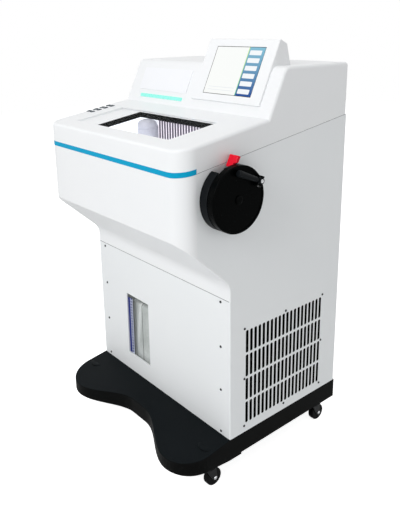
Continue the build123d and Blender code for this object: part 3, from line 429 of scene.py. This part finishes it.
def raisePrisms(name, outlines, place, w0, w1):
    # One mesh of closed outlines raised from w0 to w1, each point put in place by place(u, v, w)
    work = bmesh.new()
    for outline in outlines:
        low = [work.verts.new(place(u, v, w0)) for u, v in outline]
        high = [work.verts.new(place(u, v, w1)) for u, v in outline]
        work.faces.new(list(reversed(low)))
        work.faces.new(high)
        wallBetween(work, low, high)
    return closeMesh(name, work)


def prismPiece(name, outlines, place, span, finish):
    return finishPiece(name, raisePrisms(name, outlines, place, *span), finish, "cabinet")


def lathePieces(name, profile, centres, axis, steps=28, hollow=False):
    # One mesh of the same profile, (radius, height) in mm, turned about axis at every centre. A hollow one joins the
    # profile's last point to its first, and any other is closed by a flat face at each end.
    work = bmesh.new()
    side = outward if abs(axis.z) > 0.5 else upward
    other = axis.cross(side)
    for centre in centres:
        rings = []
        for radius, height in profile:
            turns = [2 * math.pi * k / steps for k in range(steps)]
            rings.append([work.verts.new(centre + (side * math.cos(a) + other * math.sin(a)) * radius * mm
                                         + axis * height * mm) for a in turns])
        for lowRing, highRing in zip(rings, rings[1:]):
            wallBetween(work, lowRing, highRing)
        if hollow:
            wallBetween(work, rings[-1], rings[0])
        else:
            work.faces.new(rings[0])
            work.faces.new(rings[-1])
    for face in work.faces:
        face.smooth = len(face.verts) == 4
    return closeMesh(name, work)


def joinMeshes(name, meshes):
    work = bmesh.new()
    for mesh in meshes:
        work.from_mesh(mesh)
        bpy.data.meshes.remove(mesh)
    whole = bpy.data.meshes.new(name)
    work.to_mesh(whole)
    work.free()
    return whole


# Touch display: a white page, a key column shaded from teal to blue, six blank keys and a lime edge line. Lengths in
# millimetres, spans out from the glass, tones (foot, top).
display = {"lean": 25.2, "thickness": 2.8, "border": 1.3, "corner": 0.3, "columnShare": 0.312, "edgeWidth": 2.4,
           "keyCount": 6, "keyWidth": 41.0, "keyHeight": 12.4, "keyPitch": 20.4, "keyDrop": 15.5, "keyInset": 4.0,
           "keyRound": 1.4, "ruleFeet": (11, 19), "ruleLeft": 14, "ruleGap": 12, "ruleHeight": 1.2, "ruleRound": 0.2,
           "pageSpan": (-0.1, 0.05), "lineSpan": (0.05, 0.08), "keySpan": (0.05, 0.09)}
displayTones = {"displayPage": ("#F7F9F7", "#F7F9F7"), "displayColumn": ("#1C4B95", "#82BDD4"),
                "displayEdgeLine": ("#57C491", "#CBEA7A"), "displayKey": ("#F2F6F9", "#F2F6F9"),
                "displayRule": ("#E4E8EC", "#E4E8EC")}
low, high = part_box("display_panel")
leanAngle = math.radians(display["lean"])
screenHeight = (high.z - low.z - display["thickness"] * mm * math.sin(leanAngle)) / math.cos(leanAngle)
screenUp = Vector((0, math.sin(leanAngle), math.cos(leanAngle)))
screenOut = Vector((0, -math.cos(leanAngle), math.sin(leanAngle)))
screenOrigin = Vector((low.x, low.y, high.z - screenHeight * math.cos(leanAngle)))


def onScreen(u, v, w):
    return screenOrigin + Vector((u * mm, 0, 0)) + screenUp * v * mm + screenOut * w * mm


edge = display["border"]
columnRight, columnTop = (high.x - low.x) / mm - edge, screenHeight / mm - edge
columnLeft = (high.x - low.x) / mm * (1 - display["columnShare"])
for name, (foot, top) in displayTones.items():
    made[name] = litMaterial(name, foot, top, onScreen(0, edge, 0).z, onScreen(0, columnTop, 0).z)
page = [roundedOutline(edge, columnLeft, edge, columnTop, display["corner"])]
column = [roundedOutline(columnLeft, columnRight, edge, columnTop, display["corner"])]
line = [roundedOutline(columnLeft - display["edgeWidth"], columnLeft, edge, columnTop, display["corner"])]
keyLeft = columnLeft + display["keyInset"]
keys = []
for k in range(display["keyCount"]):
    v = screenHeight / mm - display["keyDrop"] - k * display["keyPitch"]
    keys.append(roundedOutline(keyLeft, keyLeft + display["keyWidth"], v - display["keyHeight"] / 2,
                               v + display["keyHeight"] / 2, display["keyRound"]))
rules = [roundedOutline(display["ruleLeft"], columnLeft - display["ruleGap"], v, v + display["ruleHeight"],
                        display["ruleRound"]) for v in display["ruleFeet"]]
for name, outlines, span, finish in (("screenPage", page, "pageSpan", "displayPage"),
                                     ("screenColumn", column, "pageSpan", "displayColumn"),
                                     ("screenEdgeLine", line, "lineSpan", "displayEdgeLine"),
                                     ("screenKeys", keys, "keySpan", "displayKey"),
                                     ("screenRules", rules, "lineSpan", "displayRule")):
    prismPiece(name, outlines, onScreen, display[span], finish)
print("display built")

# Level scale on the sight window: a navy strip beside a pale one with a row of dashes. The window's sheet reaches
# behind the panel by lip all round.
levelScale = {"lip": 8.0, "drop": 13.5, "length": 184.0, "stripLeft": 0.5, "stripRight": 11.0, "gap": 0.3,
              "pale": 12.5, "round": 0.4, "dashes": 20, "dashInset": 2.0, "dashWidth": 8.0, "dashHeight": 4.8,
              "dashRound": 0.8, "stripSpan": (-0.05, 0.35), "paleSpan": (-0.05, 0.30), "dashSpan": (0.30, 0.38)}
low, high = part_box("slot_pane")
scaleLeft, scaleFace = low.x + levelScale["lip"] * mm, low.y
scaleTop = high.z - (levelScale["lip"] + levelScale["drop"]) * mm


def onSight(u, v, w):
    return Vector((scaleLeft + u * mm, scaleFace - w * mm, scaleTop + v * mm))


scaleFoot = -levelScale["length"]
paleLeft = levelScale["stripRight"] + levelScale["gap"]
dashLeft = paleLeft + levelScale["dashInset"]
dashFeet = [scaleFoot * (k + 0.5) / levelScale["dashes"] for k in range(levelScale["dashes"])]
strip = roundedOutline(levelScale["stripLeft"], levelScale["stripRight"], scaleFoot, 0, levelScale["round"])
ground = roundedOutline(paleLeft, paleLeft + levelScale["pale"], scaleFoot, 0, levelScale["round"])
dashes = [roundedOutline(dashLeft, dashLeft + levelScale["dashWidth"], v, v + levelScale["dashHeight"],
                         levelScale["dashRound"], 3) for v in dashFeet]
prismPiece("levelStrip", [strip], onSight, levelScale["stripSpan"], "navyInk")
prismPiece("levelGround", [ground], onSight, levelScale["paleSpan"], "paleInk")
prismPiece("levelDashes", dashes, onSight, levelScale["dashSpan"], "dashInk")
print("level scale built")

# Hex sockets in the screw heads, whose radii are headFront and headSide. The grille's middle row sits a little low.
sockets = {"acrossCorners": 3.6, "rows": 4, "headFront": 3.4, "headSide": 3.2, "middleDrop": 1.25,
           "span": (-0.2, 0.03)}


def hexOutline(cu, cv):
    radius = sockets["acrossCorners"] / 2
    turns = [math.radians(60 * k) for k in range(6)]
    return [(cu + radius * math.cos(a), cv + radius * math.sin(a)) for a in turns]


low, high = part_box("front_panel_screws")
frontFace, inset = low.y, sockets["headFront"] * mm
frontRows = [low.z + inset + (high.z - low.z - 2 * inset) * k / (sockets["rows"] - 1) for k in range(sockets["rows"])]
frontHexes = [hexOutline(x / mm, z / mm) for x in (low.x + inset, high.x - inset) for z in frontRows]
prismPiece("frontSockets", frontHexes, lambda u, v, w: Vector((u * mm, frontFace - w * mm, v * mm)), sockets["span"],
           "socketShadow")
low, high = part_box("grille_screws")
sideFace, inset = high.x, sockets["headSide"] * mm
yRow = (low.y + inset, (low.y + high.y) / 2, high.y - inset)
zRow = (low.z + inset, (low.z + high.z) / 2 - sockets["middleDrop"] * mm, high.z - inset)
sideHexes = [hexOutline(y / mm, z / mm) for y in yRow for z in zRow if (y, z) != (yRow[1], zRow[1])]
prismPiece("sideSockets", sideHexes, lambda u, v, w: Vector((sideFace + w * mm, u * mm, v * mm)), sockets["span"],
           "socketShadow")
print("screw sockets built:", len(frontHexes) + len(sideHexes))

# Domed nuts on the caster axles, which trail behind the swivel's axis
axleNuts = {"trail": 14.0, "axleHeight": 24.0, "seat": 12.1,
            "profile": [(5.2, 0), (5.2, 1.6), (4.4, 2.4), (3.0, 3.2), (1.4, 3.6)]}
for corner in corners:
    low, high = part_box("caster_fork_" + corner)
    mid = (low + high) / 2
    centre = Vector((mid.x, mid.y + axleNuts["trail"] * mm, axleNuts["axleHeight"] * mm))
    for word, axis in (("right", outward), ("left", -outward)):
        seat = centre + axis * axleNuts["seat"] * mm
        name = "axleNut_%s_%s" % (corner, word)
        finishPiece(name, lathePieces(name, axleNuts["profile"], [seat], axis), "polishedChrome",
                    "swivel_" + corner)
print("axle nuts built")

# Drum behind the handwheel, cut right through over the lock lever's travel: angles in degrees from the rear
drum = {"radius": 79.0, "wall": 5.0, "plate": 3.0, "plateHole": 24.0, "depth": 24.0, "boss": 15.0, "bore": 10.4,
        "bossFront": 22.0, "gapFrom": 80.0, "gapTo": 123.0}
low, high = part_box("wheel_shaft")
axleY, axleZ = (low.y + high.y) / 2, (low.z + high.z) / 2
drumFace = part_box("wheel_shroud")[0].x


def onDrum(u, v, w):
    # u to the rear and v up from the wheel's axis, w out from the cabinet's side
    return Vector((drumFace + w * mm, axleY + u * mm, axleZ + v * mm))


def openRing(outer, inner):
    start, end = drum["gapTo"], 360 + drum["gapFrom"]
    return arcPoints(outer, start, end) + arcPoints(inner, end, start)


drumCentre = onDrum(0, 0, 0)
wallInner = drum["radius"] - drum["wall"]
wall = raisePrisms("drumWall", [openRing(drum["radius"], wallInner)], onDrum, 0, drum["depth"])
plate = raisePrisms("drumPlate", [openRing(wallInner, drum["plateHole"])], onDrum, 0, drum["plate"])
boss = lathePieces("drumBoss", [(drum["bore"], 0), (drum["plateHole"], 0), (drum["plateHole"], drum["plate"]),
                                (drum["boss"], drum["plate"]), (drum["boss"], drum["bossFront"]),
                                (drum["bore"], drum["bossFront"])], [drumCentre], outward, 64, True)
shell = finishPiece("wheelDrum", joinMeshes("wheelDrum", [wall, plate, boss]), "texturedNylon", "cabinet",
                    0.8)
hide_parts("wheel_shroud")

# Lock lever: a ring on the drum's boss, an arm and a broad tab that leans to the rear over the wheel's rim
lever = {"ring": 21.0, "bore": 15.1, "seat": 4.5, "front": 10.5, "tabInner": 24.4, "tabOuter": 32.0,
         "arm": [(-5.2, 14), (6.8, 14), (1.0, 69), (-11.0, 68)],
         "tabLow": [(-4.6, 72.4), (1.6, 69.2), (9.3, 80.9), (0.9, 83.0)],
         "tabHigh": [(0.4, 81.9), (8.4, 81.5), (15.4, 93.4), (14.2, 95.2), (9.2, 97.6), (7.6, 96.6)]}
collar = lathePieces("leverRing", [(lever["bore"], lever["seat"]), (lever["ring"], lever["seat"]),
                                   (lever["ring"], lever["front"]), (lever["bore"], lever["front"])],
                     [drumCentre], outward, 48, True)
arm = raisePrisms("leverArm", [lever["arm"]], onDrum, lever["seat"], lever["front"])
tabLow = raisePrisms("leverTabLow", [lever["tabLow"]], onDrum, lever["seat"], lever["tabInner"])
tabHigh = raisePrisms("leverTabHigh", [lever["tabHigh"]], onDrum, lever["seat"], lever["tabOuter"])
tab = finishPiece("lockLever", joinMeshes("lockLever", [tabLow, tabHigh]), "glossRedAbs", "lock", 0.9)
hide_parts("lock_lever")
finishPiece("lockArm", joinMeshes("lockArm", [collar, arm]), "texturedNylon", "lock", 0.6)

# Grip pivot: a round boss sunk in the wheel's outer side, with a bright cap nut in it. reach and rise are shares of
# the drum's radius.
gripPivot = {"reach": 0.72, "rise": 0.46, "sink": 1.1,
             "boss": [(7.2, -3.0), (7.2, 0.4), (6.6, 1.0), (1.0, 1.0)],
             "nut": [(4.5, 0.9), (4.5, 1.3), (4.0, 1.6), (2.5, 1.6), (2.2, 1.1), (0.6, 1.1)]}
wheelLow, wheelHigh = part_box("handwheel")
pivot = onDrum(gripPivot["reach"] * drum["radius"], gripPivot["rise"] * drum["radius"], 0)
pivot.x = wheelHigh.x - gripPivot["sink"] * mm
finishPiece("gripBoss", lathePieces("gripBoss", gripPivot["boss"], [pivot], outward, 40), "texturedNylon", "grip")
finishPiece("gripNut", lathePieces("gripNut", gripPivot["nut"], [pivot], outward, 24), "polishedChrome", "grip")
print("drum, lever and grip pivot built")

# Base moulding: two round lobes with a deeper middle than the solid's, a top that falls to the front, a chamfered
# foot that steps up behind the lobes, an open pocket below and a boss for each caster beside it. Millimetres from the
# base's middle line, the front panel and the floor. bossTop lies within the moulding, except along the front of the
# two front bosses, where the falling top is up to 2.6 mm lower and they show as faint discs.
skid = {"halfWidth": 300.0, "rear": 427.0, "reach": 150.0, "middleReach": 78.0, "lobe": 84.0, "middleFlat": 30.0,
        "top": 133.0, "skirt": 62.0, "fall": 0.147, "chamfer": 7.0, "step": 41.0, "stepDepth": 0.3, "stepRise": 5.0,
        "pocket": (-225.0, 225.0, -55.0, 405.0), "pocketTop": 123.0, "pocketRound": 20.0, "bossRadius": 25.0,
        "bossFoot": 64.0, "bossTop": 125.0, "frontBoss": -47.0, "rearBoss": 373.0, "stem": 6.4, "lobeSteps": 12,
        "curveSteps": 60}
low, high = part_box("base_skid")
skidMiddle, skidFront = (low.x + high.x) / 2, high.y - skid["rear"] * mm


def frontEdge():
    # From the right lobe's side round both lobes to the left one's side
    r = skid["lobe"]
    tip = skid["halfWidth"] - r
    lobe = [(tip + x, r - skid["reach"] + y) for x, y in arcPoints(r, 0, -90, skid["lobeSteps"])]
    middle = []
    for k in range(1, skid["curveSteps"]):
        x = tip - 2 * tip * k / skid["curveSteps"]
        t = max(abs(x) - skid["middleFlat"], 0) / (tip - skid["middleFlat"])
        middle.append((x, -skid["middleReach"] - (skid["reach"] - skid["middleReach"]) * t * t * (3 - 2 * t)))
    return lobe + middle + [(-x, y) for x, y in reversed(lobe)]


def buildSkid():
    w, rear, step, stepEnd = skid["halfWidth"], skid["rear"], skid["step"], skid["step"] + skid["stepDepth"]
    front = frontEdge()
    outline = front + [(-w, 0), (-w, step), (-w, stepEnd), (-w, rear), (w, rear), (w, stepEnd), (w, step), (w, 0)]
    work = bmesh.new()

    def footAt(y):
        return skid["top"] - skid["skirt"] + (skid["stepRise"] if y > step else 0)

    def ring(points, height):
        return [work.verts.new((skidMiddle + x * mm, skidFront + y * mm, height(y) * mm)) for x, y in points]

    inner = []  # the foot's outline, drawn in by the chamfer along the front
    for k, (x, y) in enumerate(outline):
        (px, py), (nx, ny) = outline[k - 1], outline[(k + 1) % len(outline)]
        away = Vector((py - ny, nx - px)).normalized()
        cut = skid["chamfer"] if k < len(front) else 0.0
        inner.append((x - away.x * cut, y - away.y * cut))
    top = ring(outline, lambda y: skid["top"] + min(y, 0) * skid["fall"])
    mid = ring(outline, lambda y: footAt(y) + (skid["chamfer"] if y < -0.5 else 0))
    foot = ring(inner, footAt)
    wallBetween(work, mid, top)
    wallBetween(work, foot, mid)
    count = len(front)
    work.faces.new(top[:count] + [top[count], top[-1]])
    work.faces.new(top[count:])
    hole = roundedOutline(*skid["pocket"], skid["pocketRound"])
    rim = ring(hole, footAt)
    roof = ring(hole, lambda y: skid["pocketTop"])
    wallBetween(work, rim, roof)
    work.faces.new(roof)
    footEdges = [work.edges.get((points[k], points[(k + 1) % len(points)]))
                 for points in (foot, rim) for k in range(len(points))]
    bmesh.ops.triangle_fill(work, use_beauty=True, edges=footEdges)
    return closeMesh("skidBody", work)


bossPlaces = []
for corner in corners:
    low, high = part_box("caster_fork_" + corner)
    y = skid["frontBoss"] if "front" in corner else skid["rearBoss"]
    bossPlaces.append(Vector(((low.x + high.x) / 2, skidFront + y * mm, skid["bossFoot"] * mm)))
bossRise = skid["bossTop"] - skid["bossFoot"]
bossMesh = lathePieces("skidBosses", [(skid["stem"], 0), (skid["bossRadius"], 0), (skid["bossRadius"], bossRise),
                                      (skid["stem"], bossRise)], bossPlaces, upward, 36, True)
base = finishPiece("baseMoulding", joinMeshes("baseMoulding", [buildSkid(), bossMesh]), "grainedBlackFoam", "cabinet",
                   1.6)
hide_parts("base_skid")
print("base moulding built")

# Rounded top of the specimen column, above the CAD body's flat top
domeProfile = [(27.3, -16), (27.3, -7), (26.2, -2), (23.6, 2.5), (19.0, 6), (12.5, 8.3), (5, 9)]
low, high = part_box("head_housing")
crown = Vector(((low.x + high.x) / 2, low.y + (high.x - low.x) / 2, high.z))
finishPiece("columnDome", lathePieces("columnDome", domeProfile, [crown], upward, 48), "greyTwoPack", "cabinet")
print("column dome built")

# Shadow gaps between the mouldings, with a grey cord at the bottom of each whose grey is partly painted shade for the
# gap. The hood's joint rises to the rear by slope, and its cord runs from behind the hood's round corner to just
# before its rear edge.
seams = {"slope": 0.151, "hoodCorner": 45.6, "rearGap": 2.0, "halfHeight": 0.9, "depth": 1.15, "face": 0.35,
         "frontInset": 3.0, "frontDrop": 0.4, "frontRise": 0.9, "frontRound": 0.2, "frontSpan": (-0.6, 0.12)}
hoodLow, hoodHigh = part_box("top_hood")
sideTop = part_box("side_panel_right")[1]
panelLow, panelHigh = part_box("front_panel")


def besideHood(sideX, way):
    # u in from the hood's side, v up from the joint, w along it from front to rear
    return lambda u, v, w: Vector((sideX + way * u * mm, w * mm,
                                   sideTop.z - seams["slope"] * (sideTop.y - w * mm) + v * mm))


half = seams["halfHeight"]
section = [(seams["depth"], -half), (seams["depth"], half), (seams["face"], half), (seams["face"], -half)]
hoodRun = (hoodLow.y / mm + seams["hoodCorner"], hoodHigh.y / mm - seams["rearGap"])
prismPiece("seamCordRight", [section], besideHood(hoodHigh.x, -1), hoodRun, "gapShadeCord")
prismPiece("seamCordLeft", [section], besideHood(hoodLow.x, 1), hoodRun, "gapShadeCord")
joint = roundedOutline(panelLow.x / mm + seams["frontInset"], panelHigh.x / mm - seams["frontInset"],
                       panelHigh.z / mm - seams["frontDrop"], panelHigh.z / mm + seams["frontRise"],
                       seams["frontRound"])
prismPiece("seamCordFront", [joint], lambda u, v, w: Vector((u * mm, panelLow.y - w * mm, v * mm)),
           seams["frontSpan"], "gapShadeCord")
print("joint cords built")

# Domed cap over the handwheel's hub: face is the hub's outer face, from the wheel's inner side
hubCap = {"face": 18.6, "profile": [(10.4, -0.4), (10.4, 0.2), (9.4, 0.7), (6.5, 1.0), (1.0, 1.1)]}
hubCentre = Vector((wheelLow.x + hubCap["face"] * mm, axleY, axleZ))
finishPiece("hubCap", lathePieces("hubCap", hubCap["profile"], [hubCentre], outward, 40), "phenolicBlack", "wheel")
print("hub cap built")

# Studio: pale floor, even daylight and two soft lamps, at a level where colours render as written
studio = {"ambient": 0.46, "floorTone": "#F4F5F5", "floorSize": 14.0, "floorGlow": 0.85}
lamps = {
    "keyLamp": {"place": (0.6, -3.0, 2.5), "aim": (0.05, -0.1, 0.5), "size": 1.8, "watts": 58},
    "topLamp": {"place": (-0.2, -0.4, 3.4), "aim": (-0.05, -0.1, 0.9), "size": 2.4, "watts": 14},
    "sideLamp": {"place": (3.4, 0.9, 1.2), "aim": (0.0, 0.0, 0.4), "size": 2.0, "watts": 10},
}
world = bpy.data.worlds.new("studioAir")
scene.world = world
world.use_nodes = True
tree = world.node_tree
tree.nodes.clear()
rays = addNode(tree, "ShaderNodeLightPath")
seen = addNode(tree, "ShaderNodeMath", {"operation": "ADD", "use_clamp": True},
               {0: (rays, "Is Camera Ray"), 1: (rays, "Is Glossy Ray")})
seenToo = addNode(tree, "ShaderNodeMath", {"operation": "ADD", "use_clamp": True},
                  {0: (seen, "Value"), 1: (rays, "Is Transmission Ray")})
level = addNode(tree, "ShaderNodeMath", {"operation": "MULTIPLY_ADD", 1: 1 - studio["ambient"],
                                         2: studio["ambient"]}, {0: (seenToo, "Value")})
air = addNode(tree, "ShaderNodeBackground", {"Color": (1, 1, 1, 1)}, {"Strength": (level, "Value")})
addNode(tree, "ShaderNodeOutputWorld", links={"Surface": (air, "Background")})

floorMaterial, tree = newMaterial("paleStudioFloor")
rays = addNode(tree, "ShaderNodeLightPath")
matt = addNode(tree, "ShaderNodeBsdfDiffuse", {"Color": hexToLinear(studio["floorTone"])})
glow = addNode(tree, "ShaderNodeMath", {"operation": "MULTIPLY", 1: studio["floorGlow"]},
               {0: (rays, "Is Camera Ray")})
lift = addNode(tree, "ShaderNodeEmission", {"Color": (1, 1, 1, 1)}, {"Strength": (glow, "Value")})
both = addNode(tree, "ShaderNodeAddShader", links={0: (matt, "BSDF"), 1: (lift, "Emission")})
addNode(tree, "ShaderNodeOutputMaterial", links={"Surface": (both, "Shader")})
reach = studio["floorSize"] / 2
floorMesh = bpy.data.meshes.new("studioFloor")
floorMesh.from_pydata([(-reach, -reach, 0), (reach, -reach, 0), (reach, reach, 0), (-reach, reach, 0)], [],
                      [(0, 1, 2, 3)])
floorMesh.materials.append(floorMaterial)
floor = bpy.data.objects.new("studioFloor", floorMesh)
scene.collection.objects.link(floor)

for name, lamp in lamps.items():
    data = bpy.data.lights.new(name, "AREA")
    data.shape = "DISK"
    data.size = lamp["size"]
    data.energy = lamp["watts"]
    holder = bpy.data.objects.new(name, data)
    scene.collection.objects.link(holder)
    place = Vector(lamp["place"])
    holder.location = place
    holder.rotation_euler = (Vector(lamp["aim"]) - place).to_track_quat("-Z", "Y").to_euler()
print("studio built")

# Camera, fitted to the photograph: metres, degrees, and millimetres for the lens and the frame's height
view = {"place": (1.2453, -1.0482, 1.1610), "azimuth": 49.95, "elevation": 15.30, "roll": -0.77, "lens": 42.51,
        "frame": 36.0, "shiftY": -0.125}
azimuth, elevation, roll = (math.radians(view[k]) for k in ("azimuth", "elevation", "roll"))
back = Vector((math.sin(azimuth) * math.cos(elevation), -math.cos(azimuth) * math.cos(elevation),
               math.sin(elevation)))
right = Vector((math.cos(azimuth), math.sin(azimuth), 0))
up = back.cross(right)
turnedRight = right * math.cos(roll) + up * math.sin(roll)
turnedUp = up * math.cos(roll) - right * math.sin(roll)
lens = bpy.data.cameras.new("photoView")
lens.lens = view["lens"]
lens.sensor_width = view["frame"]
lens.shift_y = view["shiftY"]
camera = bpy.data.objects.new("photoView", lens)
scene.collection.objects.link(camera)
camera.matrix_world = Matrix.Translation(view["place"]) @ Matrix((turnedRight, turnedUp, back)).transposed().to_4x4()
scene.camera = camera
print("camera placed")
